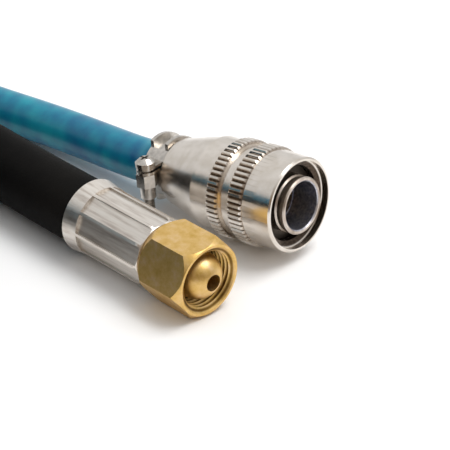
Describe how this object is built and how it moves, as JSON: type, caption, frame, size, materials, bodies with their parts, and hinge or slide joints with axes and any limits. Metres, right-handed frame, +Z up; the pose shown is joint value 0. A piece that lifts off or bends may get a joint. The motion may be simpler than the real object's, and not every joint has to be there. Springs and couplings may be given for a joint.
{
  "type": "air hose set",
  "caption": "Wound air hose set: blue braided hose with a ball-lock quick coupler and plug, and black rubber hose with brass swivel nuts and crimped ferrules.",
  "frame": {"origin": "on the surface that the set lies on, under the middle of the near coupler and the near nut with their fittings", "axes": "+Z up; +X out of the near swivel nut's mouth along its nipple's bore; +Y towards the quick coupler beside it"},
  "size_m": [0.2556, 0.3262, 0.0662],
  "materials": {
    "nickel": "satin nickel plate on brass",
    "nickel_bore": "turned, nickel plated",
    "ferrule_nickel": "bright nickel plate on steel, crimped",
    "clamp_steel": "zinc plated",
    "steel": "hardened, plain",
    "brass": "machined",
    "seal_rubber": "moulded nitrile",
    "black_hose": "matte",
    "blue_hose": "clear blue wall over a woven braid",
    "strap": "woven hook-and-loop"
  },
  "bodies": {
    "hoses": {"coupler_body": "nickel", "socket_tube": "nickel_bore", "retaining_ring": "steel", "sleeve_spring": "steel", "valve_spring": "steel", "valve_guide": "brass", "plug_seal": "seal_rubber", "body_gasket": "seal_rubber", "clamp_band": "clamp_steel", "clamp_screw": "clamp_steel", "clamp_nut": "clamp_steel", "far_clamp_band": "clamp_steel", "far_clamp_screw": "clamp_steel", "far_clamp_nut": "clamp_steel", "blue_hose_lead": "blue_hose", "blue_hose_coil": "blue_hose", "blue_hose_tail": "blue_hose", "black_hose_lead": "black_hose", "black_hose_coil": "black_hose", "black_hose_tail": "black_hose", "plug_nipple": "nickel", "ball_nose_nipple": "brass", "far_nipple": "brass", "ferrule": "ferrule_nickel", "far_ferrule": "ferrule_nickel", "coil_strap_1": "strap", "coil_strap_2": "strap"},
    "sleeve": {"coupler_sleeve": "nickel"},
    "ball_1": {"locking_ball_1": "steel"},
    "ball_2": {"locking_ball_2": "steel"},
    "ball_3": {"locking_ball_3": "steel"},
    "ball_4": {"locking_ball_4": "steel"},
    "valve": {"valve_poppet": "brass", "valve_seal": "seal_rubber"},
    "nut": {"swivel_nut": "brass"},
    "far_nut": {"far_swivel_nut": "brass"}
  },
  "joints": [
    {"name": "sleeve_slide", "type": "slide", "parent": "hoses", "child": "sleeve", "axis": [-0.9893, -0.1022, -0.1045], "range_m": [0, 0.0032], "stiffness_N_per_m": 1200, "springref_m": -0.004, "deforming": ["sleeve_spring"]},
    {"name": "ball_1_lift", "type": "slide", "parent": "hoses", "child": "ball_1", "axis": [-0.104, -0.0107, 0.9945], "range_m": [0, 0.000864]},
    {"name": "ball_2_lift", "type": "slide", "parent": "hoses", "child": "ball_2", "axis": [-0.1028, 0.9947, 0], "range_m": [0, 0.000864]},
    {"name": "ball_3_lift", "type": "slide", "parent": "hoses", "child": "ball_3", "axis": [0.104, 0.0107, -0.9945], "range_m": [0, 0.000864]},
    {"name": "ball_4_lift", "type": "slide", "parent": "hoses", "child": "ball_4", "axis": [0.1028, -0.9947, 0], "range_m": [0, 0.000864]},
    {"name": "valve_slide", "type": "slide", "parent": "hoses", "child": "valve", "axis": [-0.9893, -0.1022, -0.1045], "range_m": [0, 0.003], "stiffness_N_per_m": 300, "springref_m": -0.003, "deforming": ["valve_spring"]},
    {"name": "nut_spin", "type": "hinge", "parent": "hoses", "child": "nut", "pos_m": [0.0184, -0.0186, 0.0101], "axis": [1, 0, 0], "continuous": true},
    {"name": "far_nut_spin", "type": "hinge", "parent": "hoses", "child": "far_nut", "pos_m": [-0.2136, -0.2481, 0.0287], "axis": [0, -1, 0], "continuous": true}
  ],
  "couplings": [
    {"joint": "ball_1_lift", "follows": "sleeve_slide", "ratio": 0.27},
    {"joint": "ball_2_lift", "follows": "sleeve_slide", "ratio": 0.27},
    {"joint": "ball_3_lift", "follows": "sleeve_slide", "ratio": 0.27},
    {"joint": "ball_4_lift", "follows": "sleeve_slide", "ratio": 0.27}
  ]
}
